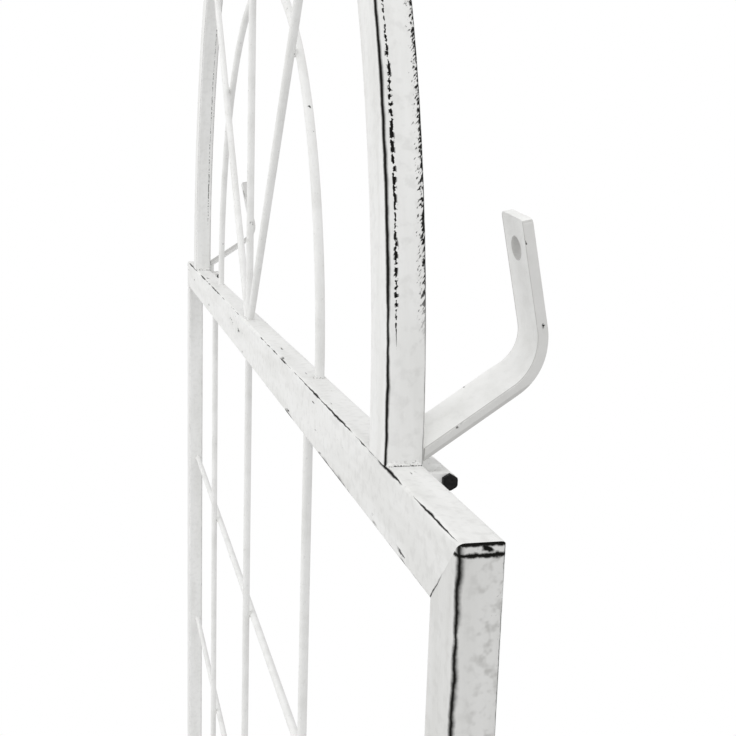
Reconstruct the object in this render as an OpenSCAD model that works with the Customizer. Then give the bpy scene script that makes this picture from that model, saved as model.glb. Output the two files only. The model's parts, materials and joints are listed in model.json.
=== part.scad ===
// Espalier frame: a tall trellis of welded flat-sided tube and round rod.
// A straight grid stands under a shoulder rail, a half-round arch with a hoop and
// two leaning rods stands on it, and two tilting brackets reach back to a wall.
// Millimetres, +X to the right end, +Y back to the wall, +Z up.
// The origin is on the ground, under the middle of the whole outline.

/* [Frame] */
// Outer width over the two legs
frame_w = 940; // [800:10:1080]
// Depth of every tube, front to back
tube_d = 15; // [14:1:25]
// Width of a leg, seen from the front
leg_w = 25; // [16:1:30]
// Height of the shoulder rail
rail_h = 27; // [20:1:40]
// Height of the sill rail near the ground
sill_h = 25; // [16:1:30]
// Wall of every tube
tube_wall = 1.5; // [1:0.1:1.8]
// Outer corner radius of every tube
tube_r = 2; // [1.9:0.1:4]
// Clear height under the sill rail
foot_h = 120; // [60:5:200]

/* [Grid] */
// Height of one grid cell
row_pitch = 195; // [150:5:240]
// Diameter of the round rods
rod_d = 5; // [4:0.5:5]

/* [Arch] */
// From the end of the shoulder rail to the outer face of the arch
arch_inset = 82; // [60:1:100]
// Width of the arch tube, seen from the front
arch_w = 24; // [16:1:30]
// Straight foot of the arch, above the shoulder rail
arch_foot_h = 2; // [1:1:60]

/* [Tracery] */
// Straight foot of the hoop, above the shoulder rail
hoop_foot_h = 2; // [1:1:60]
// Lean of the two slanting rods away from upright, in degrees
slant_lean = 41; // [30:1:45]
// From the middle to the axis of a slanting rod, at the shoulder rail
slant_foot_x = 6; // [6:0.5:14]

/* [Bracket] */
// Width of the bracket strip
strip_w = 20; // [16:1:24]
// Thickness of the bracket strip
strip_t = 4; // [3:0.5:5]
// Rise of the bracket arm above level, in degrees
arm_rise = 34; // [28:1:36]
// Straight length of the arm, from the pivot to the bend
arm_len = 40; // [32:1:56]
// Inner radius of the bend between arm and tab
bend_r = 19; // [10:1:24]
// Straight length of the tab, from the bend to its top
tab_len = 43; // [32:1:50]
// Forward lean of the tab from upright, in degrees
tab_lean = 12; // [0:1:14]
// Diameter of the screw hole in the tab
wall_hole_d = 8.5; // [5:0.5:10]
// From the top of the tab to the middle of its screw hole
wall_hole_drop = 13.5; // [8:0.5:16]

/* [Pivot] */
// Diameter of the pivot bolt
bolt_d = 3; // [2.5:0.5:3.5]
// Width over the flats of the bolt head and of the nut
hex_af = 5.5; // [5:0.5:7]
// Height of the bolt head
head_h = 2; // [1.6:0.2:3]
// Height of the nut
nut_h = 2.4; // [2:0.2:3]
// Bolt end that stands out of the nut
bolt_tail = 1.5; // [1:0.5:5]
// Radius of the round ends of the ears and of the lug between them
lug_r = 3; // [2.8:0.2:4]
// Length of the lug along the bolt
lug_t = 18; // [10:1:20]
// Width of the web between the lug and the strip
web_w = 6; // [4:1:10]
// From the pivot up to the underside of the strip, square to the strip
strip_lift = 11.8; // [11:0.1:13]
// Thickness of an ear
ear_t = 3; // [2:0.5:5]
// From the back of the rail to the pivot
pivot_back = 9.5; // [8.5:0.5:10]
// From the top of the rail down to the pivot
pivot_drop = 6.5; // [5:0.5:10]

/* [Foot plugs] */
// Thickness of the plug under the leg
plug_cap_h = 5; // [3:0.5:8]
// Length of the plug inside the leg
plug_stem_h = 22; // [12:1:30]

/* [Clearances] */
// Between a rod and what it only passes or is trimmed to
rod_gap = 0.2; // [0.1:0.05:0.4]
// Radial clearance of the lug on the bolt
lug_clear = 0.05; // [0.02:0.01:0.1]
// Radial clearance of the ears and the nut on the bolt
bolt_clear = 0.15; // [0.05:0.05:0.3]
// Between the lug and each ear
ear_gap = 0.3; // [0.2:0.05:0.5]
// Between the end of the strip and the back of the arch
stop_gap = 0.3; // [0.2:0.05:0.5]
// Between the plug stem and the inside of the leg
plug_clear = 0.2; // [0.1:0.05:0.4]

/* [Hidden] */
$fn = 64;
// Facets in one rounded tube corner
corner_steps = 4;
// Facets in the bend of a bracket
bend_steps = 20;
// How far cutting shapes run past what they cut
over = 5;

// Cells of the grid, one above the other and side by side
row_count = 6;
column_count = 4;

// Levels, from the ground up
sill_top = foot_h + sill_h;
rail_bottom = sill_top + row_count * row_pitch;
rail_top = rail_bottom + rail_h;
arch_spring = rail_top + arch_foot_h;
hoop_spring = rail_top + hoop_foot_h;
pivot_z = rail_top - pivot_drop;

// Places across the width
leg_outer_x = frame_w / 2;
leg_inner_x = leg_outer_x - leg_w;
bay = 2 * leg_inner_x / column_count;
arch_outer_x = leg_outer_x - arch_inset;
arch_mid_x = arch_outer_x - arch_w / 2;

arch_inner_x = arch_outer_x - arch_w;

// Rods lie in two layers, one before and one behind the middle of the tubes
rod_r = rod_d / 2;
layer_y = rod_r + rod_gap / 2;

// Bracket: a bent strip on a lug that turns on the bolt, between two ears.
// At rest the upper corner of the strip's end stands at the back of the arch
strip_high = strip_lift + strip_t;
arm_start = (stop_gap - pivot_back + strip_high * sin(arm_rise)) / cos(arm_rise);
bend_turn = 90 + tab_lean - arm_rise;
web_front = stop_gap - pivot_back;
web_h = arm_start * sin(arm_rise) + strip_lift * cos(arm_rise) + strip_t / 2;
ear_inner_x = lug_t / 2 + ear_gap;
ear_outer_x = ear_inner_x + ear_t;
hex_r = hex_af / 2 / cos(30);

// The whole outline is centred on the origin, front to back
pivot_y = tube_d / 2 + pivot_back;
bracket_back_y = pivot_y + arm_len * cos(arm_rise) - (strip_high + bend_r) * sin(arm_rise)
    + bend_r + strip_t;
frame_y = (tube_d / 2 - bracket_back_y) / 2;

// Points of a rectangle with rounded corners, centred on the origin
function rounded(w, d, r) = [
    for (corner = [0 : 3])
        let (sx = (corner == 0 || corner == 3) ? 1 : -1, sy = corner < 2 ? 1 : -1)
            for (step = [0 : corner_steps])
                let (a = 90 * (corner + step / corner_steps))
                    [sx * (w / 2 - r) + r * cos(a), sy * (d / 2 - r) + r * sin(a)]
];

// Section of a tube, open inside
module tube_section(w, d) {
    difference() {
        polygon(rounded(w, d, tube_r));
        polygon(rounded(w - 2 * tube_wall, d - 2 * tube_wall, tube_r - tube_wall));
    }
}

// Moves the frame's middle plane to its place before the wall
module in_frame() {
    translate([0, frame_y, 0]) children();
}

// Lays a shape drawn in XY upright, facing the front, centred on the middle plane
module upright(depth) {
    rotate([90, 0, 0]) linear_extrude(depth, center = true) children();
}

// Region of the shoulder rail: its slanted ends are the mitres to the legs
module mitre_region() {
    run = over * leg_w / rail_h;
    upright(tube_d + 2 * over)
        polygon([
            [-leg_outer_x - run, rail_top + over],
            [leg_outer_x + run, rail_top + over],
            [leg_inner_x - run, rail_bottom - over],
            [-leg_inner_x + run, rail_bottom - over]
        ]);
}

// Space under the arch, above the shoulder rail
module under_arch() {
    intersection() {
        translate([0, 0, arch_spring])
            rotate([90, 0, 0])
                cylinder(r = arch_inner_x - rod_gap, h = tube_d, center = true, $fn = 256);
        translate([-leg_outer_x, -tube_d, rail_top])
            cube([frame_w, 2 * tube_d, leg_outer_x]);
    }
}

module right_leg() {
    color("ivory") in_frame() difference() {
        translate([leg_outer_x - leg_w / 2, 0, plug_cap_h])
            linear_extrude(rail_top - plug_cap_h) tube_section(leg_w, tube_d);
        mitre_region();
    }
}

module left_leg() {
    mirror([1, 0, 0]) right_leg();
}

module shoulder_rail() {
    color("ivory") in_frame() intersection() {
        translate([-leg_outer_x, 0, rail_top - rail_h / 2])
            rotate([90, 0, 90])
                linear_extrude(frame_w) rotate(90) tube_section(rail_h, tube_d);
        mitre_region();
    }
}

module sill_rail() {
    color("ivory") in_frame()
        translate([-leg_inner_x, 0, sill_top - sill_h / 2])
            rotate([90, 0, 90])
                linear_extrude(2 * leg_inner_x) rotate(90) tube_section(sill_h, tube_d);
}

// Plug that closes a leg and stands on the ground
module right_foot_plug() {
    inset = 2 * (tube_wall + plug_clear);
    color("dimgray") in_frame() translate([leg_outer_x - leg_w / 2, 0, 0]) {
        linear_extrude(plug_cap_h) polygon(rounded(leg_w, tube_d, tube_r));
        linear_extrude(plug_cap_h + plug_stem_h)
            polygon(rounded(leg_w - inset, tube_d - inset, tube_r - tube_wall));
    }
}

module left_foot_plug() {
    mirror([1, 0, 0]) right_foot_plug();
}

// Upright rod of the grid, counted in bays from the middle
module grid_rod(bays) {
    color("ivory") in_frame()
        translate([bays * bay, -layer_y, sill_top])
            cylinder(r = rod_r, h = rail_bottom - sill_top);
}

module left_grid_rod() {
    grid_rod(-1);
}

module middle_grid_rod() {
    grid_rod(0);
}

module right_grid_rod() {
    grid_rod(1);
}

// Level rod of the grid, counted in cells down from the shoulder rail
module cross_rod(cells) {
    color("ivory") in_frame()
        translate([-leg_inner_x, layer_y, rail_bottom - cells * row_pitch])
            rotate([0, 90, 0]) cylinder(r = rod_r, h = 2 * leg_inner_x);
}

// Half-round arch on two short straight feet
module arch() {
    color("ivory") in_frame() {
        for (side = [-1, 1])
            translate([side * arch_mid_x, 0, rail_top])
                linear_extrude(arch_foot_h) tube_section(arch_w, tube_d);
        translate([0, 0, arch_spring])
            rotate([90, 0, 0])
                rotate_extrude(angle = 180, $fn = 256)
                    translate([arch_mid_x, 0]) tube_section(arch_w, tube_d);
    }
}

// Round hoop inside the arch, one bay either side of the middle
module hoop() {
    color("ivory") in_frame() translate([0, layer_y, 0]) {
        for (side = [-1, 1])
            translate([side * bay, 0, rail_top]) cylinder(r = rod_r, h = hoop_foot_h);
        translate([0, 0, hoop_spring])
            rotate([90, 0, 0])
                rotate_extrude(angle = 180, $fn = 128) translate([bay, 0]) circle(rod_r);
    }
}

// Upright rod from the shoulder rail to the top of the arch
module centre_rod() {
    color("ivory") in_frame() intersection() {
        translate([0, -layer_y, rail_top]) cylinder(r = rod_r, h = leg_outer_x);
        under_arch();
    }
}

// Rod that leans from the middle of the shoulder rail out to the arch
module right_slant_rod() {
    color("ivory") in_frame() intersection() {
        translate([slant_foot_x, -layer_y, rail_top])
            rotate([0, slant_lean, 0])
                translate([0, 0, -rod_d]) cylinder(r = rod_r, h = leg_outer_x);
        under_arch();
    }
}

module left_slant_rod() {
    mirror([1, 0, 0]) right_slant_rod();
}

// Carries a shape drawn about the pivot, with its width along X, to the right pivot
module at_right_pivot() {
    in_frame() translate([arch_mid_x, pivot_y, pivot_z]) children();
}

// Round bar along X, between two places across the pivot
module across(from_x, to_x, r, facets = $fn) {
    translate([from_x, 0, 0]) rotate([90, 0, 90]) cylinder(r = r, h = to_x - from_x, $fn = facets);
}

// Ear welded to the back of the rail, with its hole for the bolt
module right_ear(from_x) {
    color("ivory") at_right_pivot() difference() {
        union() {
            across(from_x, from_x + ear_t, lug_r);
            translate([from_x, -pivot_back, -lug_r]) cube([ear_t, pivot_back, 2 * lug_r]);
        }
        across(from_x - over, from_x + ear_t + over, bolt_d / 2 + bolt_clear);
    }
}

module right_outer_ear() {
    right_ear(ear_inner_x);
}

module right_inner_ear() {
    right_ear(-ear_outer_x);
}

module left_outer_ear() {
    mirror([1, 0, 0]) right_outer_ear();
}

module left_inner_ear() {
    mirror([1, 0, 0]) right_inner_ear();
}

module right_pivot_bolt() {
    color("#202020") at_right_pivot() {
        across(ear_outer_x, ear_outer_x + head_h, hex_r, 6);
        across(-ear_outer_x - nut_h - bolt_tail, ear_outer_x + head_h / 2, bolt_d / 2);
    }
}

module left_pivot_bolt() {
    mirror([1, 0, 0]) right_pivot_bolt();
}

module right_pivot_nut() {
    color("#202020") at_right_pivot() difference() {
        across(-ear_outer_x - nut_h, -ear_outer_x, hex_r, 6);
        across(-ear_outer_x - nut_h - over, -ear_outer_x + over, bolt_d / 2 + bolt_clear);
    }
}

module left_pivot_nut() {
    mirror([1, 0, 0]) right_pivot_nut();
}

// Web, drawn with the pivot at the origin: forward from the lug, then up the back of the
// arch into the strip
module web_outline() {
    translate([web_front, 0]) {
        square([-web_front, strip_t]);
        square([strip_t, web_h]);
    }
}

// One face of the bent strip, drawn with the pivot at the origin: from the start of
// the arm, round the bend at the radius given, to the end of the tab
function strip_face(face_r) =
    let (
        centre = [arm_len, strip_high + bend_r],
        arc = [
            for (step = [0 : bend_steps])
                let (a = bend_turn * step / bend_steps) centre + face_r * [sin(a), -cos(a)]
        ]
    )
    concat(
        [[arm_start, strip_high + bend_r - face_r]],
        arc,
        [arc[bend_steps] + tab_len * [cos(bend_turn), sin(bend_turn)]]
    );

// Points of a list, last one first
function reversed(points) = [for (i = [len(points) - 1 : -1 : 0]) points[i]];

module strip_outline() {
    polygon(concat(strip_face(bend_r), reversed(strip_face(bend_r + strip_t))));
}

module right_bracket() {
    color("ivory") at_right_pivot() difference() {
        union() {
            rotate([arm_rise, 0, 0])
                rotate([90, 0, 90]) linear_extrude(strip_w, center = true) strip_outline();
            rotate([90, 0, 90]) {
                linear_extrude(lug_t, center = true) circle(lug_r);
                linear_extrude(web_w, center = true) web_outline();
            }
        }
        across(-strip_w, strip_w, bolt_d / 2 + lug_clear);
        rotate([arm_rise, 0, 0])
            translate([0, arm_len, strip_high + bend_r])
                rotate([bend_turn - 90, 0, 0])
                    translate([0, bend_r - over, tab_len - wall_hole_drop])
                        rotate([-90, 0, 0]) cylinder(d = wall_hole_d, h = strip_t + 2 * over);
    }
}

module left_bracket() {
    mirror([1, 0, 0]) right_bracket();
}

left_leg();
right_leg();
shoulder_rail();
sill_rail();
left_foot_plug();
right_foot_plug();
left_grid_rod();
middle_grid_rod();
right_grid_rod();
cross_rod(1);  // cross_rod_1
cross_rod(2);  // cross_rod_2
cross_rod(3);  // cross_rod_3
cross_rod(4);  // cross_rod_4
cross_rod(5);  // cross_rod_5
arch();
hoop();
centre_rod();
left_slant_rod();
right_slant_rod();
left_outer_ear();
left_inner_ear();
right_outer_ear();
right_inner_ear();
left_pivot_bolt();
right_pivot_bolt();
left_pivot_nut();
right_pivot_nut();
left_bracket();
right_bracket();
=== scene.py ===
import json
import math
import bpy
from mathutils import Matrix, Vector


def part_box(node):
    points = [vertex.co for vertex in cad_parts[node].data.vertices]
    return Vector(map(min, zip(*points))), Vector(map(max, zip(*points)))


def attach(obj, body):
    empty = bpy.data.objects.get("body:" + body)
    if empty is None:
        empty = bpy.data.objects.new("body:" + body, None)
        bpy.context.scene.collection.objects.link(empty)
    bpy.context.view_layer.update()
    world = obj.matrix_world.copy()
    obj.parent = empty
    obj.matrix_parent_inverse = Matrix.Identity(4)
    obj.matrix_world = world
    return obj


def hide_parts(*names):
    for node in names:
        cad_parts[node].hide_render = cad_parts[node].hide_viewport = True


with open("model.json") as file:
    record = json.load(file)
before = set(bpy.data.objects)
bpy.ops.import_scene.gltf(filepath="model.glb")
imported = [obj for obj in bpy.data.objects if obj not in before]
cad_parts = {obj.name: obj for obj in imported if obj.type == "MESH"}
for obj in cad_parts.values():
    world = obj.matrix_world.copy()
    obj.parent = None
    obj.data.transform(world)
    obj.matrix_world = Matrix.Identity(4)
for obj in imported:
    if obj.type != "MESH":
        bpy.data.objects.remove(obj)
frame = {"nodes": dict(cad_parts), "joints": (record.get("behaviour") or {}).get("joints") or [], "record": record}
nodes = frame["nodes"]
mounts = {mount["name"]: mount for mount in frame["record"]["mounts"]}
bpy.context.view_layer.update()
scene = bpy.context.scene
scene.view_settings.view_transform = "Standard"
mm = 0.001
print("frame loaded:", len(nodes), "nodes")

# Places that the looks are set to, read from the frame
railLow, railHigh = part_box("shoulder_rail")
legLow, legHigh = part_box("right_leg")
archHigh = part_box("arch")[1]
sillLow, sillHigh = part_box("sill_rail")
rodLow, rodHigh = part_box("right_grid_rod")
hoopLow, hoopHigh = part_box("hoop")
middleY = (railLow.y + railHigh.y) / 2
halfDepth = (railHigh.y - railLow.y) / 2
railTop, railBottom = railHigh.z, railLow.z
railMid = (railTop + railBottom) / 2
railHalf = (railTop - railBottom) / 2
legOuter, legInner = legHigh.x, legLow.x
legMid = (legOuter + legInner) / 2
legHalf = (legOuter - legInner) / 2
sillMid = (sillLow.z + sillHigh.z) / 2
archHalf = 12 * mm                      # half the width of the arch tube
stripHalf = 10 * mm                     # half the width of a bracket's strip
archMid = archHigh.x - archHalf
archSpring = archHigh.z - archHigh.x
rodR = (rodHigh.x - rodLow.x) / 2
bay = (rodHigh.x + rodLow.x) / 2
frontRodY = (rodLow.y + rodHigh.y) / 2
backRodY = (hoopLow.y + hoopHigh.y) / 2


# Node helpers

def addNode(tree, kind, inputs, **settings):
    node = tree.nodes.new("ShaderNode" + kind)
    for name, value in settings.items():
        setattr(node, name, value)
    for name, value in inputs.items():
        if isinstance(value, bpy.types.NodeSocket):
            tree.links.new(value, node.inputs[name])
        else:
            node.inputs[name].default_value = value
    return node


def calc(tree, operation, *values):
    return addNode(tree, "Math", dict(enumerate(values)), operation=operation).outputs[0]


def fade(tree, value, start, end):      # 0 at start, 1 at end
    inputs = {"Value": value, "From Min": start, "From Max": end}
    return addNode(tree, "MapRange", inputs, interpolation_type="SMOOTHSTEP").outputs[0]


grainRoughness = 0.6


def grain(tree, place, scale, detail=4.0):
    inputs = {"Vector": place, "Scale": scale, "Detail": detail, "Roughness": grainRoughness}
    return addNode(tree, "TexNoise", inputs).outputs[0]


def blendColour(tree, amount, first, second):
    return addNode(tree, "Mix", {0: amount, 6: first, 7: second}, data_type="RGBA").outputs[2]


def stretch(tree, along, across, depth, share):
    return addNode(tree, "CombineXYZ", {
        "X": calc(tree, "MULTIPLY", along, share), "Y": across, "Z": depth}).outputs[0]


def newPaint(name):
    paint = bpy.data.materials.new(name)
    paint.use_nodes = True
    tree = paint.node_tree
    return paint, tree, tree.nodes["Principled BSDF"]


paintLook = {
    "white": (0.82, 0.82, 0.81, 1),
    "chalk": (0.74, 0.74, 0.725, 1),
    "rubbed": (0.36, 0.355, 0.34, 1),
    "bare": (0.006, 0.006, 0.005, 1),
    "roughness": 0.6,
    "bareRoughness": 0.85,
    "gloss": 0.08,
    "brushHeight": 0.5,
    "bump": 0.35,
    "bumpDepth": 0.35 * mm,
}
# Paler paint for the brackets and ears: newer paint, and also painted light that lifts the shade the arch casts on
# them
cleanAndLitPaint = dict(paintLook, white=(0.88, 0.88, 0.87, 1), chalk=(0.82, 0.82, 0.805, 1))


# Colour, gloss and bump of the paint, where worn and rubbed say how much of it is gone; rubbed also carries the
# painted shade of the tubes and brackets
def coatPaint(tree, shader, coat, mottle, rubbed, worn, brush):
    colour = blendColour(tree, mottle, coat["white"], coat["chalk"])
    colour = blendColour(tree, rubbed, colour, coat["rubbed"])
    colour = blendColour(tree, worn, colour, coat["bare"])
    tree.links.new(colour, shader.inputs["Base Color"])
    shader.inputs["Specular IOR Level"].default_value = coat["gloss"]
    matt = calc(tree, "MULTIPLY_ADD", worn, coat["bareRoughness"] - coat["roughness"], coat["roughness"])
    tree.links.new(matt, shader.inputs["Roughness"])
    height = calc(tree, "SUBTRACT", calc(tree, "MULTIPLY", brush, coat["brushHeight"]), worn)
    bump = addNode(tree, "Bump", {"Height": height, "Strength": coat["bump"], "Distance": coat["bumpDepth"]})
    tree.links.new(bump.outputs[0], shader.inputs["Normal"])


# Place on a tube: along it, across it with outwards or upwards positive, and front to back
def tubePlace(tree, run, middle):
    place = addNode(tree, "TexCoord", {}).outputs["Object"]
    x, y, z = addNode(tree, "SeparateXYZ", {"Vector": place}).outputs
    depth = calc(tree, "SUBTRACT", y, middleY)
    if run == "upright":
        side = calc(tree, "SIGN", x)    # the two legs wear differently
        along = calc(tree, "ADD", z, side)
        across = calc(tree, "SUBTRACT", calc(tree, "ABSOLUTE", x), middle)
    elif run == "level":
        along = x
        across = calc(tree, "SUBTRACT", z, middle)
    else:
        high = calc(tree, "SUBTRACT", z, archSpring)
        squares = calc(tree, "ADD", calc(tree, "MULTIPLY", x, x), calc(tree, "MULTIPLY", high, high))
        along = calc(tree, "MULTIPLY", calc(tree, "ARCTAN2", high, x), middle)
        across = calc(tree, "SUBTRACT", calc(tree, "SQRT", squares), middle)
    return along, across, depth, x, z


# Picks a number by the edge of the tube that is nearest
def byEdge(tree, outer, front, numbers):
    outerSide = calc(tree, "MULTIPLY_ADD", front, numbers["outerFront"] - numbers["outerBack"],
                     numbers["outerBack"])
    innerSide = calc(tree, "MULTIPLY_ADD", front, numbers["innerFront"] - numbers["innerBack"],
                     numbers["innerBack"])
    inner = calc(tree, "SUBTRACT", 1.0, outer)
    return calc(tree, "ADD", calc(tree, "MULTIPLY", outer, outerSide),
                calc(tree, "MULTIPLY", inner, innerSide))


mitreLook = {"openBelow": 0.25, "filledAbove": 0.55, "ragged": 0.9 * mm, "width": 1.0 * mm, "core": 0.55 * mm,
             "patchLow": 0.38, "patchHigh": 0.5}


# Line of the mitre between a leg and the shoulder rail, filled and painted over towards the outer corner
def mitreSeam(tree, x, z, ragged, patches):
    m = mitreLook
    over = calc(tree, "DIVIDE", calc(tree, "SUBTRACT", calc(tree, "ABSOLUTE", x), legInner), 2 * legHalf)
    up = calc(tree, "DIVIDE", calc(tree, "SUBTRACT", z, railBottom), 2 * railHalf)
    mitreRun = 2 * legHalf * railHalf / math.hypot(legHalf, railHalf)
    away = calc(tree, "MULTIPLY", calc(tree, "ABSOLUTE", calc(tree, "SUBTRACT", over, up)), mitreRun)
    line = fade(tree, calc(tree, "MULTIPLY_ADD", ragged, m["ragged"], away), m["width"], m["core"])
    line = calc(tree, "MULTIPLY", line, fade(tree, up, m["filledAbove"], m["openBelow"]))
    return calc(tree, "MULTIPLY", line, fade(tree, patches, m["patchLow"], m["patchHigh"]))


bandLook = {"drop": 0.8 * mm, "ragged": 1.6 * mm, "upper": 1.7 * mm, "upperCore": 0.9 * mm,
            "lowerAt": 4.0 * mm, "lower": 1.2 * mm, "lowerCore": 0.3 * mm,
            "betweenEnd": 4.4 * mm, "betweenFull": 3.6 * mm, "blobLow": 0.48, "blobHigh": 0.62}


# Dark band where the top of a leg is rubbed through: two lines, with blobs between them
def topBand(tree, z, ragged, blobs):
    b = bandLook
    below = calc(tree, "MULTIPLY_ADD", ragged, b["ragged"], calc(tree, "SUBTRACT", railTop - b["drop"], z))
    upper = fade(tree, below, b["upper"], b["upperCore"])
    fromLower = calc(tree, "ABSOLUTE", calc(tree, "SUBTRACT", below, b["lowerAt"]))
    lower = fade(tree, fromLower, b["lower"], b["lowerCore"])
    between = calc(tree, "MULTIPLY", fade(tree, below, b["betweenEnd"], b["betweenFull"]),
                   fade(tree, blobs, b["blobLow"], b["blobHigh"]))
    return calc(tree, "MAXIMUM", calc(tree, "MAXIMUM", upper, lower), between)


# What the wear of all the tubes has in common
tubeWear = {
    "streakShare": 0.16, "patchShare": 0.35, "patchDetail": 3.0, "raggedScale": 700.0, "wobbleScale": 140.0,
    "roughRise": 25 * mm, "beadScale": 700.0, "beadDetail": 1.0, "beadLow": 0.36, "beadHigh": 0.60,
    "beadCore": 0.4, "breakScale": 60.0, "breakLow": 0.36, "breakHigh": 0.48,
    "dashAlong": 0.83, "dashAcross": 0.55, "dashShare": 0.4, "dashScale": 1250.0, "dashDetail": 1.5,
    "dashSoft": 0.16, "dashEnd": 0.9 * mm, "dashFull": 0.3 * mm,
    "sliverScale": 210.0, "sliverDetail": 5.0, "sliverSoft": 0.04, "sliverLow": 0.5, "sliverHigh": 0.6,
    "blobScale": 230.0, "blobDetail": 2.0, "blobLow": 0.46, "blobHigh": 0.70,
    "sideStart": -5 * mm, "sideFull": 3 * mm,
    "mottleScale": 90.0, "mottleLow": 0.35, "mottleHigh": 0.75, "brushScale": 700.0, "brushDetail": 2.0,
}


def wornTube(name, look):
    w = tubeWear
    paint, tree, shader = newPaint(name)
    along, across, depth, x, z = tubePlace(tree, look["run"], look["middle"])
    skin = stretch(tree, along, across, depth, 1.0)
    streaks = stretch(tree, along, across, depth, w["streakShare"])
    ragged = grain(tree, skin, w["raggedScale"])
    patches = grain(tree, stretch(tree, along, across, depth, w["patchShare"]), look["patchScale"],
                    w["patchDetail"])
    outer = calc(tree, "GREATER_THAN", across, 0.0)
    front = calc(tree, "LESS_THAN", depth, 0.0)
    # runs across the nearest long edge: 0 on the edge, positive on the front or back, negative on the side
    fromSide = calc(tree, "SUBTRACT", look["half"], calc(tree, "ABSOLUTE", across))
    fromFront = calc(tree, "SUBTRACT", halfDepth, calc(tree, "ABSOLUTE", depth))
    slip = calc(tree, "SUBTRACT", fromSide, fromFront)
    sway = calc(tree, "SUBTRACT", grain(tree, skin, w["wobbleScale"]), 0.5)
    wobble = calc(tree, "MULTIPLY_ADD", sway, look["wobble"], slip)
    # the bare line on the edge, broken where the patches are low
    width = calc(tree, "MULTIPLY", byEdge(tree, outer, front, look["lines"]),
                 fade(tree, patches, look["patchLow"], look["patchHigh"]))
    worn = fade(tree, calc(tree, "ABSOLUTE", wobble), width, calc(tree, "MULTIPLY", width, look["lineCore"]))
    # a row of chips beside it, on the side, from some height up
    rough = fade(tree, z, look["roughStart"], look["roughStart"] + w["roughRise"])
    beads = calc(tree, "MULTIPLY", byEdge(tree, outer, front, look["beads"]),
                 fade(tree, grain(tree, skin, w["beadScale"], w["beadDetail"]), w["beadLow"], w["beadHigh"]))
    beads = calc(tree, "MULTIPLY", beads,
                 fade(tree, grain(tree, streaks, w["breakScale"]), w["breakLow"], w["breakHigh"]))
    beads = calc(tree, "MULTIPLY", beads, rough)
    beside = calc(tree, "ABSOLUTE", calc(tree, "ADD", wobble, look["beadPlace"]))
    chipped = fade(tree, beside, beads, calc(tree, "MULTIPLY", beads, w["beadCore"]))
    worn = calc(tree, "MAXIMUM", worn, chipped)
    # slanting dashes that thin out away from the edge, on the side
    rising = calc(tree, "MULTIPLY_ADD", depth, w["dashAcross"], calc(tree, "MULTIPLY", along, w["dashAlong"]))
    crossing = calc(tree, "MULTIPLY_ADD", depth, -w["dashAlong"],
                    calc(tree, "MULTIPLY", along, w["dashAcross"]))
    dashes = grain(tree, stretch(tree, rising, crossing, across, w["dashShare"]), w["dashScale"],
                   w["dashDetail"])
    limit = calc(tree, "MULTIPLY_ADD", calc(tree, "ABSOLUTE", slip), look["dashFall"],
                 byEdge(tree, outer, front, look["dashes"]))
    dashed = calc(tree, "MULTIPLY", fade(tree, dashes, limit, calc(tree, "ADD", limit, w["dashSoft"])),
                  fade(tree, slip, w["dashEnd"], w["dashFull"]))
    worn = calc(tree, "MAXIMUM", worn, calc(tree, "MULTIPLY", dashed, rough))
    # slivers on the open faces
    slivers = fade(tree, grain(tree, streaks, w["sliverScale"], w["sliverDetail"]), look["slivers"],
                   look["slivers"] + w["sliverSoft"])
    slivers = calc(tree, "MULTIPLY", slivers, fade(tree, patches, w["sliverLow"], w["sliverHigh"]))
    worn = calc(tree, "MAXIMUM", worn, slivers)
    blobs = grain(tree, skin, w["blobScale"], w["blobDetail"])
    if look["run"] == "upright":
        worn = calc(tree, "MAXIMUM", worn, topBand(tree, z, ragged, blobs))
    if look["mitred"]:
        worn = calc(tree, "MAXIMUM", worn, mitreSeam(tree, x, z, ragged, patches))
    onSide = calc(tree, "MULTIPLY", outer, fade(tree, depth, w["sideStart"], w["sideFull"]))
    rubbed = calc(tree, "MULTIPLY", fade(tree, blobs, w["blobLow"], w["blobHigh"]),
                  calc(tree, "MULTIPLY_ADD", onSide, look["rubbedSide"] - look["rubbed"], look["rubbed"]))
    # painted shade: greyer towards the right end, where the light falls off
    rubbed = calc(tree, "ADD", rubbed, calc(tree, "MULTIPLY", fade(tree, x, 0.0, legInner), look["nearEndShade"]))
    mottle = fade(tree, grain(tree, streaks, w["mottleScale"]), w["mottleLow"], w["mottleHigh"])
    brush = grain(tree, streaks, w["brushScale"], w["brushDetail"])
    coatPaint(tree, shader, paintLook, mottle, rubbed, worn, brush)
    return paint


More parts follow.
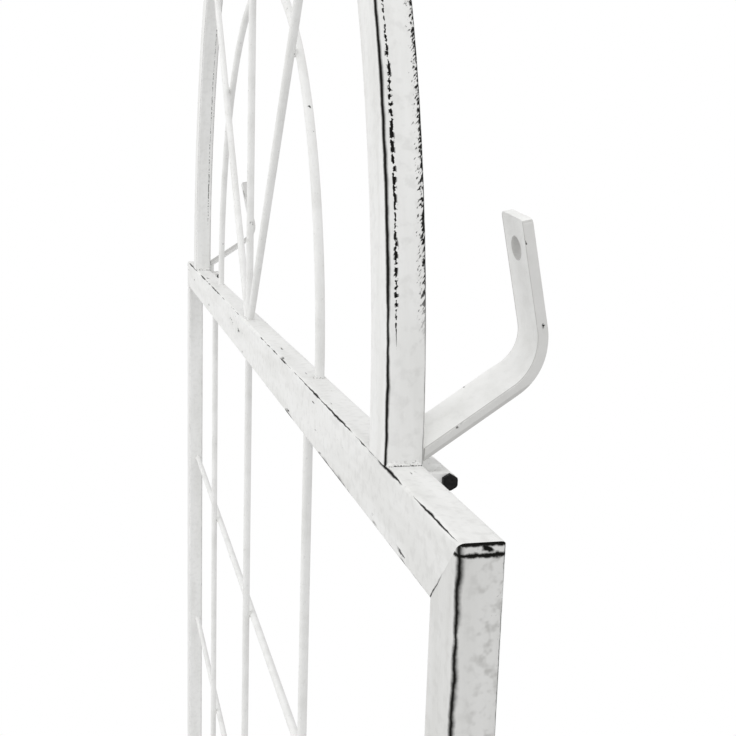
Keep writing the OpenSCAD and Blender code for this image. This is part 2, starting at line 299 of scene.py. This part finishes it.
noEdges = {"outerFront": 0.0, "outerBack": 0.0, "innerFront": 0.0, "innerBack": 0.0}
legLook = {
    "run": "upright", "middle": legMid, "half": legHalf, "mitred": True,
    "patchScale": 70.0, "patchLow": 0.30, "patchHigh": 0.60, "wobble": 3.0 * mm,
    "lines": {"outerFront": 2.5 * mm, "outerBack": 0.45 * mm, "innerFront": 0.15 * mm, "innerBack": 0.3 * mm},
    "lineCore": 0.05, "beads": noEdges, "beadPlace": 2.2 * mm,
    "dashes": {"outerFront": 0.74, "outerBack": 0.62, "innerFront": 0.74, "innerBack": 0.70},
    "dashFall": 25.0, "roughStart": 0.0, "slivers": 0.72, "rubbed": 0.10, "rubbedSide": 0.45,
    # painted shade: the legs turn greyer towards the right end, where the light falls off
    "nearEndShade": 0.22,      # greyer at the right end
}
railLook = {
    "run": "level", "middle": railMid, "half": railHalf, "mitred": True,
    "patchScale": 60.0, "patchLow": 0.46, "patchHigh": 0.72, "wobble": 1.6 * mm,
    "lines": {"outerFront": 1.6 * mm, "outerBack": 0.5 * mm, "innerFront": 3.8 * mm, "innerBack": 0.5 * mm},
    "lineCore": 0.2, "beads": noEdges, "beadPlace": 2.2 * mm,
    "dashes": {"outerFront": 0.72, "outerBack": 0.76, "innerFront": 0.70, "innerBack": 0.72},
    "dashFall": 25.0, "roughStart": 0.0, "slivers": 0.65, "rubbed": 0.14, "rubbedSide": 0.14,
    "nearEndShade": 0.04,
}
sillLook = dict(railLook, middle=sillMid, half=legHalf, mitred=False)
archLook = {
    "run": "round", "middle": archMid, "half": archHalf, "mitred": False,
    "patchScale": 40.0, "patchLow": 0.0, "patchHigh": 0.52, "wobble": 1.2 * mm,
    "lines": {"outerFront": 1.8 * mm, "outerBack": 0.3 * mm, "innerFront": 0.15 * mm, "innerBack": 0.3 * mm},
    "lineCore": 0.2, "beads": dict(noEdges, outerFront=1.4 * mm, innerBack=0.5 * mm), "beadPlace": 3.4 * mm,
    "dashes": {"outerFront": 0.72, "outerBack": 0.31, "innerFront": 0.74, "innerBack": 0.55},
    "dashFall": 85.0, "roughStart": railTop + 40 * mm, "slivers": 0.72, "rubbed": 0.10, "rubbedSide": 0.16,
    "nearEndShade": 0.0,
}


rodLook = {"chipScale": 160.0, "chipDetail": 5.0, "chipLow": 0.70, "chipHigh": 0.76,
           "rubScale": 420.0, "rubLow": 0.58, "rubHigh": 0.75, "rubbed": 0.25,
           "mottleScale": 60.0, "mottleLow": 0.35, "mottleHigh": 0.75,
           "brushScale": 900.0, "brushDetail": 2.0}


def wornRod(name, coat):
    r = rodLook
    paint, tree, shader = newPaint(name)
    place = addNode(tree, "TexCoord", {}).outputs["Object"]
    worn = fade(tree, grain(tree, place, r["chipScale"], r["chipDetail"]), r["chipLow"], r["chipHigh"])
    rubbed = calc(tree, "MULTIPLY", fade(tree, grain(tree, place, r["rubScale"]), r["rubLow"], r["rubHigh"]),
                  r["rubbed"])
    mottle = fade(tree, grain(tree, place, r["mottleScale"]), r["mottleLow"], r["mottleHigh"])
    coatPaint(tree, shader, coat, mottle, rubbed, worn, grain(tree, place, r["brushScale"], r["brushDetail"]))
    return paint


# Bracket paint; the greys on its narrow sides and on the wall of its hole are painted shade
bracketLook = {"chips": 0.65, "chipFall": 25.0, "chipScale": 200.0, "chipDetail": 5.0, "chipSoft": 0.08,
               "rubScale": 300.0, "rubDetail": 5.0, "rubLow": 0.5, "rubHigh": 0.75, "rubbed": 0.08,
               "edgeEnd": 0.5 * mm, "edgeFull": 0.1 * mm, "sideShade": 0.40,
               "arrisPlace": 0.45 * mm, "arrisWidth": 0.45 * mm, "arrisCore": 0.15 * mm, "arris": 0.6,
               "rimEnd": 0.6 * mm, "rimFull": 0.2 * mm, "holeShade": 0.55,
               "mottleScale": 110.0, "mottleLow": 0.35, "mottleHigh": 0.75,
               "brushScale": 800.0, "brushDetail": 2.0}
wallHole = mounts["right_wall_hole"]
holeR = wallHole["dims"]["r_mm"] * mm


def wornBracket(name):
    b = bracketLook
    paint, tree, shader = newPaint(name)
    place = addNode(tree, "TexCoord", {}).outputs["Object"]
    x, y, z = addNode(tree, "SeparateXYZ", {"Vector": place}).outputs
    across = calc(tree, "ABSOLUTE", calc(tree, "SUBTRACT", calc(tree, "ABSOLUTE", x), archMid))
    edge = calc(tree, "SUBTRACT", stripHalf, across)
    # chips, most of them by the edges
    limit = calc(tree, "MULTIPLY_ADD", edge, b["chipFall"], b["chips"])
    worn = fade(tree, grain(tree, place, b["chipScale"], b["chipDetail"]), limit,
                calc(tree, "ADD", limit, b["chipSoft"]))
    # painted shade: greyer on the narrow sides, which turn from the light; also greyer in a line along the corners
    smears = fade(tree, grain(tree, place, b["rubScale"], b["rubDetail"]), b["rubLow"], b["rubHigh"])
    rubbed = calc(tree, "MULTIPLY", smears, b["rubbed"])
    sideShade = calc(tree, "MULTIPLY", fade(tree, edge, b["edgeEnd"], b["edgeFull"]), b["sideShade"])
    rubbed = calc(tree, "MAXIMUM", rubbed, sideShade)
    fromArris = calc(tree, "ABSOLUTE", calc(tree, "SUBTRACT", edge, b["arrisPlace"]))
    arris = calc(tree, "MULTIPLY", fade(tree, fromArris, b["arrisWidth"], b["arrisCore"]), b["arris"])
    rubbed = calc(tree, "MAXIMUM", rubbed, arris)
    # painted shade: greyer on the wall of the hole, where shade falls
    spotY, spotZ = wallHole["pos_m"][1:]
    axisY, axisZ = wallHole["axis"][1:]
    up = calc(tree, "SUBTRACT", calc(tree, "MULTIPLY", calc(tree, "SUBTRACT", y, spotY), axisZ),
              calc(tree, "MULTIPLY", calc(tree, "SUBTRACT", z, spotZ), axisY))
    squares = calc(tree, "MULTIPLY_ADD", up, up, calc(tree, "MULTIPLY", across, across))
    fromAxis = calc(tree, "SQRT", squares)
    holeShade = fade(tree, fromAxis, holeR + b["rimEnd"], holeR + b["rimFull"])
    rubbed = calc(tree, "MAXIMUM", rubbed, calc(tree, "MULTIPLY", holeShade, b["holeShade"]))
    mottle = fade(tree, grain(tree, place, b["mottleScale"]), b["mottleLow"], b["mottleHigh"])
    brush = grain(tree, place, b["brushScale"], b["brushDetail"])
    coatPaint(tree, shader, cleanAndLitPaint, mottle, rubbed, worn, brush)
    return paint


weldLook = {"pitScale": 950.0, "pitDetail": 5.0, "bareLow": 0.60, "bareHigh": 0.68,
            "rubLow": 0.48, "rubHigh": 0.62, "rubbed": 0.5, "seamEnd": 0.7 * mm, "seamFull": 0.2 * mm,
            "mottleScale": 300.0, "mottleLow": 0.3, "mottleHigh": 0.7}


def wornWeld(name, seam):               # seam: how dark it is where it meets the rail
    w = weldLook
    paint, tree, shader = newPaint(name)
    place = addNode(tree, "TexCoord", {}).outputs["Object"]
    z = addNode(tree, "SeparateXYZ", {"Vector": place}).outputs[2]
    pits = grain(tree, place, w["pitScale"], w["pitDetail"])
    atRail = calc(tree, "MULTIPLY", fade(tree, z, railTop + w["seamEnd"], railTop + w["seamFull"]), seam)
    worn = fade(tree, calc(tree, "ADD", pits, atRail), w["bareLow"], w["bareHigh"])
    rubbed = calc(tree, "MULTIPLY", fade(tree, pits, w["rubLow"], w["rubHigh"]), w["rubbed"])
    mottle = fade(tree, grain(tree, place, w["mottleScale"]), w["mottleLow"], w["mottleHigh"])
    coatPaint(tree, shader, paintLook, mottle, rubbed, worn, pits)
    return paint


finishLook = {"spotLow": 0.35, "spotHigh": 0.7, "uneven": 0.3, "bump": 0.25, "bumpDepth": 0.1 * mm}


def plainFinish(name, look):
    f = finishLook
    finish, tree, shader = newPaint(name)
    place = addNode(tree, "TexCoord", {}).outputs["Object"]
    spots = grain(tree, place, look["scale"])
    colour = blendColour(tree, fade(tree, spots, f["spotLow"], f["spotHigh"]), look["colour"], look["second"])
    tree.links.new(colour, shader.inputs["Base Color"])
    matt = calc(tree, "MULTIPLY_ADD", spots, f["uneven"], look["roughness"] - f["uneven"] / 2)
    tree.links.new(matt, shader.inputs["Roughness"])
    shader.inputs["Specular IOR Level"].default_value = look["gloss"]
    bump = addNode(tree, "Bump", {"Height": spots, "Strength": f["bump"], "Distance": f["bumpDepth"]})
    tree.links.new(bump.outputs[0], shader.inputs["Normal"])
    return finish


boltBlack = plainFinish("boltBlack", {
    "colour": (0.004, 0.004, 0.004, 1), "second": (0.012, 0.011, 0.011, 1),
    "scale": 900.0, "roughness": 0.36, "gloss": 0.12})
plugBlack = plainFinish("plugBlack", {
    "colour": (0.030, 0.030, 0.031, 1), "second": (0.045, 0.045, 0.044, 1),
    "scale": 1400.0, "roughness": 0.62, "gloss": 0.5})
legPaint = wornTube("legPaint", legLook)
railPaint = wornTube("railPaint", railLook)
sillPaint = wornTube("sillPaint", sillLook)
archPaint = wornTube("archPaint", archLook)
rodPaint = wornRod("rodPaint", paintLook)
earPaint = wornRod("earPaint", cleanAndLitPaint)
footWeldPaint = wornWeld("footWeldPaint", seam=0.16)
rodWeldPaint = wornWeld("rodWeldPaint", seam=0.0)
bracketPaint = wornBracket("bracketPaint")

nodePaints = {
    "left_leg": legPaint, "right_leg": legPaint, "shoulder_rail": railPaint, "sill_rail": sillPaint,
    "arch": archPaint, "left_foot_plug": plugBlack, "right_foot_plug": plugBlack,
}
nodePaints.update({name: earPaint for name in nodes if name.endswith("_ear")})
for name, node in nodes.items():
    finish = nodePaints.get(name, rodPaint)
    for place in node.material_slots:
        place.material = finish
print("frame painted")


# Modelling helpers
joinGap = 0.01 * mm
sharpAngle = math.radians(35)


def clearSelection():
    bpy.ops.object.select_all(action="DESELECT")


def takeUp(piece):                      # the one selected, active object
    clearSelection()
    piece.select_set(True)
    bpy.context.view_layer.objects.active = piece


def settle(piece, name):                # its place goes into its mesh
    takeUp(piece)
    bpy.ops.object.transform_apply(location=True, rotation=True, scale=True)
    piece.name = name
    piece.data.name = name


def closeUp(piece):                     # doubles merged, faces outwards
    takeUp(piece)
    bpy.ops.object.mode_set(mode="EDIT")
    bpy.ops.mesh.select_all(action="SELECT")
    bpy.ops.mesh.remove_doubles(threshold=joinGap)
    bpy.ops.mesh.normals_make_consistent(inside=False)
    bpy.ops.object.mode_set(mode="OBJECT")


def pickFaces(piece, wanted):           # leaves edit mode on, with those faces selected
    takeUp(piece)
    bpy.ops.object.mode_set(mode="EDIT")
    bpy.ops.mesh.select_mode(type="FACE")
    bpy.ops.mesh.select_all(action="DESELECT")
    bpy.ops.object.mode_set(mode="OBJECT")
    for face in piece.data.polygons:
        face.select = wanted(face)
    bpy.ops.object.mode_set(mode="EDIT")


def pickEdges(piece, wanted):           # the same for edges, by their two ends
    takeUp(piece)
    bpy.ops.object.mode_set(mode="EDIT")
    bpy.ops.mesh.select_mode(type="EDGE")
    bpy.ops.mesh.select_all(action="DESELECT")
    bpy.ops.object.mode_set(mode="OBJECT")
    for edge in piece.data.edges:
        edge.select = wanted(*(piece.data.vertices[end].co for end in edge.vertices))
    bpy.ops.object.mode_set(mode="EDIT")


def combine(piece, tool, operation):    # boolean, after which the tool is gone
    takeUp(piece)
    cut = piece.modifiers.new("cut", "BOOLEAN")
    cut.operation = operation
    cut.solver = "EXACT"
    cut.object = tool
    bpy.ops.object.modifier_apply(modifier="cut")
    bpy.data.objects.remove(tool)


def soften(piece, width, segments):     # small rounds on the sharp edges
    takeUp(piece)
    edging = piece.modifiers.new("round", "BEVEL")
    edging.width = width
    edging.segments = segments
    edging.limit_method = "ANGLE"
    edging.angle_limit = sharpAngle
    bpy.ops.object.modifier_apply(modifier="round")
    bpy.ops.object.shade_smooth_by_angle(angle=sharpAngle)


def bar(start, end, radius, sides):     # round or hexagonal bar along X
    clearSelection()
    bpy.ops.mesh.primitive_cylinder_add(
        vertices=sides, radius=radius, depth=end - start, location=((start + end) / 2, 0, 0),
        rotation=(math.radians(90), 0, math.radians(90)))
    piece = bpy.context.object
    settle(piece, "bar")
    return piece


def copyOf(piece, name, place):         # a copy with its own mesh, moved by the matrix
    twin = piece.copy()
    twin.data = piece.data.copy()
    scene.collection.objects.link(twin)
    twin.data.transform(place)
    twin.name = name
    twin.data.name = name
    return twin


def mirrored(piece, name):
    twin = copyOf(piece, name, Matrix.Scale(-1, 4, (1, 0, 0)))
    closeUp(twin)
    return twin


def dress(piece, finish, body):
    piece.data.materials.clear()
    piece.data.materials.append(finish)
    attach(piece, body)


# Wall brackets: a strip drawn out, spun round the bend and drawn out again, on a lug
bracket = {
    "stripW": 2 * stripHalf, "stripT": 4 * mm, "lift": 11.8 * mm, "rise": math.radians(34),
    "armLen": 40 * mm, "bendR": 19 * mm, "bendSteps": 24, "tabLen": 43 * mm, "lean": math.radians(12),
    "lugR": 3 * mm, "lugT": 18 * mm, "webW": 6 * mm, "webFront": -9.2 * mm, "boltR": 1.55 * mm,
    "endSlant": math.radians(8), "cornerRound": 2 * mm, "cornerSteps": 5, "edgeRound": 0.5 * mm,
    "roll": math.radians(12), "rollSide": 5 * mm, "rootFront": -9.0 * mm, "slack": 0.1 * mm,
}
pivot = Vector(next(j for j in frame["joints"] if j["name"] == "right_bracket_tilt")["pos_m"])


def makeWeb():                          # up the back of the arch, with a foot back to the pivot
    b = bracket
    height = (b["lift"] + b["stripT"]) / math.cos(b["rise"]) + b["webFront"] * math.tan(b["rise"])
    clearSelection()
    bpy.ops.mesh.primitive_cube_add(size=1, location=(0, b["webFront"] + b["stripT"] / 2, height / 2))
    web = bpy.context.object
    web.scale = (b["webW"], b["stripT"], height)
    settle(web, "web")
    bpy.ops.object.mode_set(mode="EDIT")
    bpy.ops.mesh.select_all(action="SELECT")
    bpy.ops.mesh.bisect(plane_co=(0, 0, b["stripT"]), plane_no=(0, 0, 1))
    bpy.ops.object.mode_set(mode="OBJECT")
    pickFaces(web, lambda face: face.normal.y > 0.9 and face.center.z < b["stripT"])
    bpy.ops.mesh.extrude_region_move(TRANSFORM_OT_translate={
        "value": (0, -b["webFront"] - b["stripT"], 0)})
    bpy.ops.object.mode_set(mode="OBJECT")
    closeUp(web)
    return web


# Turns the arm a little about its length, and the bend takes that up
def rollArm(strip, bendEnd, middleZ):
    axis = Vector((bracket["rollSide"], bendEnd, middleZ))
    strip.location = -axis
    settle(strip, "strip")
    low = min(corner[1] for corner in strip.bound_box)
    high = max(corner[1] for corner in strip.bound_box)
    roll = strip.modifiers.new("roll", "SIMPLE_DEFORM")
    roll.deform_method = "TWIST"
    roll.deform_axis = "Y"
    roll.angle = -bracket["roll"]
    roll.limits = ((bracket["armLen"] - bendEnd - low) / (high - low), -low / (high - low))
    bpy.ops.object.modifier_apply(modifier="roll")
    strip.location = axis
    settle(strip, "strip")


def makeBracket():
    b = bracket
    high = b["lift"] + b["stripT"]
    turn = math.radians(90) + b["lean"] - b["rise"]
    clearSelection()
    bpy.ops.mesh.primitive_plane_add(size=1, location=(0, b["webFront"], b["lift"] + b["stripT"] / 2),
                                     rotation=(math.radians(90), 0, 0))
    strip = bpy.context.object
    strip.scale = (b["stripW"], b["stripT"], 1)
    settle(strip, "strip")
    bpy.ops.object.mode_set(mode="EDIT")
    bpy.ops.mesh.select_all(action="SELECT")
    bpy.ops.mesh.extrude_region_move(TRANSFORM_OT_translate={"value": (0, b["armLen"] - b["webFront"], 0)})
    bpy.ops.mesh.spin(steps=b["bendSteps"], angle=-turn, axis=(1, 0, 0),
                      center=(0, b["armLen"], high + b["bendR"]))
    bpy.ops.mesh.extrude_region_move(TRANSFORM_OT_translate={
        "value": (0, b["tabLen"] * math.cos(turn), b["tabLen"] * math.sin(turn))})
    bpy.ops.object.mode_set(mode="OBJECT")
    closeUp(strip)
    # the end is sawn off aslant, lower at the outer corner, and its corners are rounded
    bendEnd = b["armLen"] + b["bendR"] * math.sin(turn)
    endY = bendEnd + b["tabLen"] * math.cos(turn)
    endZ = high + b["bendR"] * (1 - math.cos(turn)) + b["tabLen"] * math.sin(turn)
    sawn = Vector((math.sin(b["endSlant"]), math.cos(b["endSlant"]) * math.cos(turn),
                   math.cos(b["endSlant"]) * math.sin(turn)))
    bpy.ops.object.mode_set(mode="EDIT")
    bpy.ops.mesh.select_all(action="SELECT")
    bpy.ops.mesh.bisect(plane_co=(-stripHalf, endY, endZ), plane_no=sawn, use_fill=True, clear_outer=True)
    bpy.ops.object.mode_set(mode="OBJECT")
    nearEnd = endZ - b["stripW"] * math.tan(b["endSlant"]) - b["stripT"]
    pickEdges(strip, lambda one, other: min(one.z, other.z) > nearEnd and abs(one.x - other.x) < b["slack"])
    bpy.ops.mesh.bevel(offset=b["cornerRound"], segments=b["cornerSteps"])
    bpy.ops.object.mode_set(mode="OBJECT")
    rollArm(strip, bendEnd, b["lift"] + b["stripT"] / 2)
    strip.rotation_euler = (b["rise"], 0, 0)
    settle(strip, "rightWallBracket")
    # the root is cut upright, just clear of the back of the arch
    bpy.ops.object.mode_set(mode="EDIT")
    bpy.ops.mesh.select_all(action="SELECT")
    bpy.ops.mesh.bisect(plane_co=(0, b["rootFront"], 0), plane_no=(0, 1, 0), use_fill=True, clear_inner=True)
    bpy.ops.object.mode_set(mode="OBJECT")
    lug = bar(-b["lugT"] / 2, b["lugT"] / 2, b["lugR"], 48)
    combine(lug, makeWeb(), "UNION")
    combine(strip, lug, "UNION")
    combine(strip, bar(-b["stripW"], b["stripW"], b["boltR"], 40), "DIFFERENCE")
    strip.location = pivot
    settle(strip, "rightWallBracket")
    clearSelection()
    bpy.ops.mesh.primitive_cylinder_add(vertices=48, radius=holeR, depth=4 * b["stripT"])
    drill = bpy.context.object
    drill.matrix_world = (Matrix.Translation(wallHole["pos_m"])
                          @ Vector(wallHole["axis"]).to_track_quat("Z", "Y").to_matrix().to_4x4())
    settle(drill, "drill")
    combine(strip, drill, "DIFFERENCE")
    soften(strip, b["edgeRound"], 2)
    return strip


rightBracket = makeBracket()
leftBracket = mirrored(rightBracket, "leftWallBracket")
for side, piece in (("left", leftBracket), ("right", rightBracket)):
    dress(piece, bracketPaint, side + "_wall_bracket")
    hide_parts(side + "_bracket")
print("brackets bent")


# Pivot bolts and nuts: hexagons cut round at the corners, and a threaded end
boltParts = {"headH": 2 * mm, "hexR": 3.175 * mm, "chamferR": 2.92 * mm, "belly": 1.35,
             "boltR": 1.5 * mm, "nutClear": 0.15 * mm, "pitch": 0.5 * mm, "ridges": 2, "rootShare": 0.84,
             "edgeRound": 0.12 * mm}
boltLow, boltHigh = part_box("right_pivot_bolt")
nutLow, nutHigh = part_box("right_pivot_nut")


def roundCorners(hexagon, start, end):  # keeps what lies in a barrel that is narrow at its ends
    barrel = bar(start, end, boltParts["chamferR"], 48)
    bpy.ops.object.mode_set(mode="EDIT")
    bpy.ops.mesh.select_all(action="SELECT")
    bpy.ops.mesh.bisect(plane_co=((start + end) / 2, 0, 0), plane_no=(1, 0, 0))
    bpy.ops.transform.resize(value=(1, boltParts["belly"], boltParts["belly"]), center_override=(0, 0, 0))
    bpy.ops.object.mode_set(mode="OBJECT")
    combine(hexagon, barrel, "INTERSECT")


def makeBolt():
    h = boltParts
    headStart = boltHigh.x - h["headH"]
    head = bar(headStart, boltHigh.x, h["hexR"], 6)
    roundCorners(head, headStart - h["headH"], boltHigh.x)
    shank = bar(boltLow.x + h["ridges"] * h["pitch"], headStart + h["headH"] / 2, h["boltR"], 32)
    pickFaces(shank, lambda face: face.normal.x < -0.9)
    for ridge in range(h["ridges"]):    # root and crest of each turn of the thread
        for share in (h["rootShare"], 1 / h["rootShare"]):
            bpy.ops.mesh.extrude_region_move(TRANSFORM_OT_translate={"value": (-h["pitch"] / 2, 0, 0)})
            bpy.ops.transform.resize(value=(1, share, share), center_override=(0, 0, 0))
    bpy.ops.object.mode_set(mode="OBJECT")
    combine(head, shank, "UNION")
    return head


def makeNut():
    nut = bar(nutLow.x, nutHigh.x, boltParts["hexR"], 6)
    roundCorners(nut, nutLow.x, nutHigh.x)
    boreR = boltParts["boltR"] + boltParts["nutClear"]
    combine(nut, bar(nutLow.x - mm, nutHigh.x + mm, boreR, 32), "DIFFERENCE")
    return nut


for kind, make in (("bolt", makeBolt), ("nut", makeNut)):
    rightPiece = make()
    soften(rightPiece, boltParts["edgeRound"], 2)
    rightPiece.location = (0, pivot.y, pivot.z)
    settle(rightPiece, "rightPivot" + kind.title())
    leftPiece = mirrored(rightPiece, "leftPivot" + kind.title())
    for side, piece in (("left", leftPiece), ("right", rightPiece)):
        dress(piece, boltBlack, "frame")
        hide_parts(side + "_pivot_" + kind)
print("bolts and nuts cut")


# Weld beads: lumps run together under the arch, collars round the rod ends, beads at the crossings
weld = {"beadR": 1.5 * mm, "beadLumps": 13, "swell": 0.16, "swellTurn": 2.4, "wander": 0.2 * mm,
        "wanderTurn": 1.7, "endShare": 1.5, "voxel": 0.3 * mm, "collarR": 0.85 * mm,
        "crossR": 2.3 * mm, "crossDepth": 0.8, "lumpiness": 0.7 * mm, "lumpSize": 1.6 * mm}
weldGrain = bpy.data.textures.new("weldGrain", "CLOUDS")
weldGrain.noise_scale = weld["lumpSize"]


def roughen(piece):                     # uneven, as weld metal sets
    takeUp(piece)
    lumps = piece.modifiers.new("lumps", "DISPLACE")
    lumps.texture = weldGrain
    lumps.texture_coords = "LOCAL"
    lumps.strength = weld["lumpiness"]
    bpy.ops.object.modifier_apply(modifier="lumps")
    bpy.ops.object.shade_smooth()


def makeFootBead():                     # along Y, and just inside the faces of the tubes
    clearSelection()
    reach = halfDepth - weld["endShare"] * weld["beadR"]
    step = 2 * reach / (weld["beadLumps"] - 1)
    lumps = []
    for count in range(weld["beadLumps"]):
        bpy.ops.mesh.primitive_ico_sphere_add(
            subdivisions=2, radius=weld["beadR"] * (1 + weld["swell"] * math.sin(weld["swellTurn"] * count)),
            location=(weld["wander"] * math.sin(weld["wanderTurn"] * count), -reach + step * count, 0))
        lumps.append(bpy.context.object)
    for lump in lumps:
        lump.select_set(True)
    bpy.ops.object.join()
    bead = bpy.context.object
    settle(bead, "footBead")
    melt = bead.modifiers.new("melt", "REMESH")
    melt.mode = "VOXEL"
    melt.voxel_size = weld["voxel"]
    bpy.ops.object.modifier_apply(modifier="melt")
    roughen(bead)
    return bead


def makeCollar():                       # round a rod that stands along Z
    clearSelection()
    bpy.ops.mesh.primitive_torus_add(major_radius=rodR, minor_radius=weld["collarR"],
                                     major_segments=28, minor_segments=12)
    collar = bpy.context.object
    settle(collar, "collar")
    roughen(collar)
    return collar


def makeCrossBead():
    clearSelection()
    bpy.ops.mesh.primitive_ico_sphere_add(subdivisions=3, radius=weld["crossR"])
    bead = bpy.context.object
    bead.scale = (1, weld["crossDepth"], 1)
    settle(bead, "crossBead")
    roughen(bead)
    return bead


slant = {"lean": math.radians(41), "footX": 6 * mm}


def slantReach(radius):                 # where the right slanting rod is that far from the arch's centre
    reach = Vector((math.sin(slant["lean"]), math.cos(slant["lean"])))
    foot = Vector((slant["footX"], railTop - archSpring))
    along = foot.dot(reach)
    return foot + reach * (math.sqrt(along * along - foot.length_squared + radius * radius) - along)


def standing(x, y, z, turn=0.0, wide=1.0):   # turned about Y, after being made wider along X
    return (Matrix.Translation((x, y, z)) @ Matrix.Rotation(turn, 4, "Y")
            @ Matrix.Diagonal((wide, 1, 1, 1)))


crossRods = [name for name in nodes if name.startswith("cross_rod_")]
crossHeights = [sum(corner.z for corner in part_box(name)) / 2 for name in crossRods]
archInner = archMid - archHalf
archEnd = slantReach(archInner)
archTurn = math.atan2(archEnd.x, archEnd.y)
hoopCross = slantReach(bay)
sideways = math.radians(90)
beadPlaces = [standing(side * (archMid + face * archHalf), middleY, railTop)
              for side in (-1, 1) for face in (-1, 1)]
collarPlaces = [standing(x, frontRodY, z) for x in (-bay, 0, bay) for z in (sillHigh.z, railBottom)]
collarPlaces += [standing(side * legInner, backRodY, z, sideways) for side in (-1, 1) for z in crossHeights]
collarPlaces += [standing(0, frontRodY, z) for z in (railTop, archSpring + archInner)]
crossPlaces = [standing(x, middleY, z) for x in (-bay, 0, bay) for z in crossHeights]
crossPlaces.append(standing(0, middleY, archSpring + bay))
for side in (-1, 1):
    collarPlaces += [
        standing(side * bay, backRodY, railTop),
        standing(side * slant["footX"], frontRodY, railTop, 0.0, 1 / math.cos(slant["lean"])),
        standing(side * archEnd.x, frontRodY, archSpring + archEnd.y, side * archTurn)]
    crossPlaces.append(standing(side * hoopCross.x, middleY, archSpring + hoopCross.y))
for label, make, places, finish in (("footWeld", makeFootBead, beadPlaces, footWeldPaint),
                                    ("rodWeld", makeCollar, collarPlaces, rodWeldPaint),
                                    ("crossWeld", makeCrossBead, crossPlaces, rodWeldPaint)):
    first = make()
    for count, place in enumerate(places):
        dress(copyOf(first, f"{label}_{count + 1}", place), finish, "frame")
    bpy.data.objects.remove(first)
    print(label, "copies:", len(places))


# Pale floor that fades to the white ground at its rim
stage = {"radius": 1.5, "fadeStart": 0.9, "drop": 0.5 * mm, "colour": (0.86, 0.86, 0.86, 1),
         "roughness": 0.9, "ambient": 0.70}


def seenDirectly(tree):                 # camera, glossy and transmitted rays
    rays = addNode(tree, "LightPath", {}).outputs
    seen = calc(tree, "MAXIMUM", rays["Is Camera Ray"], rays["Is Glossy Ray"])
    return calc(tree, "MAXIMUM", seen, rays["Is Transmission Ray"])


clearSelection()
bpy.ops.mesh.primitive_circle_add(vertices=96, radius=stage["radius"], fill_type="NGON",
                                  location=(0, 0, -stage["drop"]))
floor = bpy.context.object
settle(floor, "floor")
floorPaint, tree, shader = newPaint("floorPaint")
shader.inputs["Base Color"].default_value = stage["colour"]
shader.inputs["Roughness"].default_value = stage["roughness"]
ground = addNode(tree, "TexCoord", {}).outputs["Object"]
fromMiddle = addNode(tree, "VectorMath", {0: ground}, operation="LENGTH").outputs["Value"]
rim = fade(tree, fromMiddle, stage["fadeStart"], stage["radius"])
glow = addNode(tree, "Emission", {"Strength": 1.0})
blank = addNode(tree, "MixShader", {0: calc(tree, "MULTIPLY", rim, seenDirectly(tree)),
                                    1: shader.outputs[0], 2: glow.outputs[0]})
tree.links.new(blank.outputs[0], tree.nodes["Material Output"].inputs["Surface"])
floor.data.materials.append(floorPaint)

world = bpy.data.worlds.new("studio")
scene.world = world
world.use_nodes = True
tree = world.node_tree
room = tree.nodes["Background"]
room.inputs["Color"].default_value = (1, 1, 1, 1)
room.inputs["Strength"].default_value = stage["ambient"]
paper = addNode(tree, "Background", {"Color": (1, 1, 1, 1), "Strength": 1.0})
behind = addNode(tree, "MixShader", {0: seenDirectly(tree), 1: room.outputs[0], 2: paper.outputs[0]})
tree.links.new(behind.outputs[0], tree.nodes["World Output"].inputs["Surface"])

# Soft boxes: before the frame, over it, and beyond its near end
lamps = {
    "frontBox": {"place": (-0.3, -2.0, 1.9), "aim": (0.1, middleY, 1.3), "size": 1.6, "power": 16},
    "topBox": {"place": (0.5, 0.2, 3.2), "aim": (0.4, 0.0, 1.3), "size": 1.2, "power": 10},
    "nearBox": {"place": (3.2, -0.5, 2.3), "aim": (0.2, middleY, 1.3), "size": 2.0, "power": 17},
}
for name, lamp in lamps.items():
    light = bpy.data.lights.new(name, "AREA")
    light.size = lamp["size"]
    light.energy = lamp["power"]
    holder = bpy.data.objects.new(name, light)
    scene.collection.objects.link(holder)
    holder.location = lamp["place"]
    towards = Vector(lamp["aim"]) - Vector(lamp["place"])
    holder.rotation_euler = towards.to_track_quat("-Z", "Y").to_euler()
print("stage lit")

# Camera close by the near end, looking along the frame and a little down
shot = {"lens": 52.16, "beyondLeg": 273.5 * mm, "before": -105.9 * mm, "above": 102.5 * mm,
        "heading": math.radians(75.6), "pitch": math.radians(-10.3), "roll": math.radians(1.78)}
lensData = bpy.data.cameras.new("shot")
lensData.lens = shot["lens"]
camera = bpy.data.objects.new("shot", lensData)
scene.collection.objects.link(camera)
camera.matrix_world = (
    Matrix.Translation((legOuter + shot["beyondLeg"], middleY + shot["before"], railTop + shot["above"]))
    @ Matrix.Rotation(shot["heading"], 4, "Z")
    @ Matrix.Rotation(math.radians(90) + shot["pitch"], 4, "X")
    @ Matrix.Rotation(shot["roll"], 4, "Z"))
scene.camera = camera
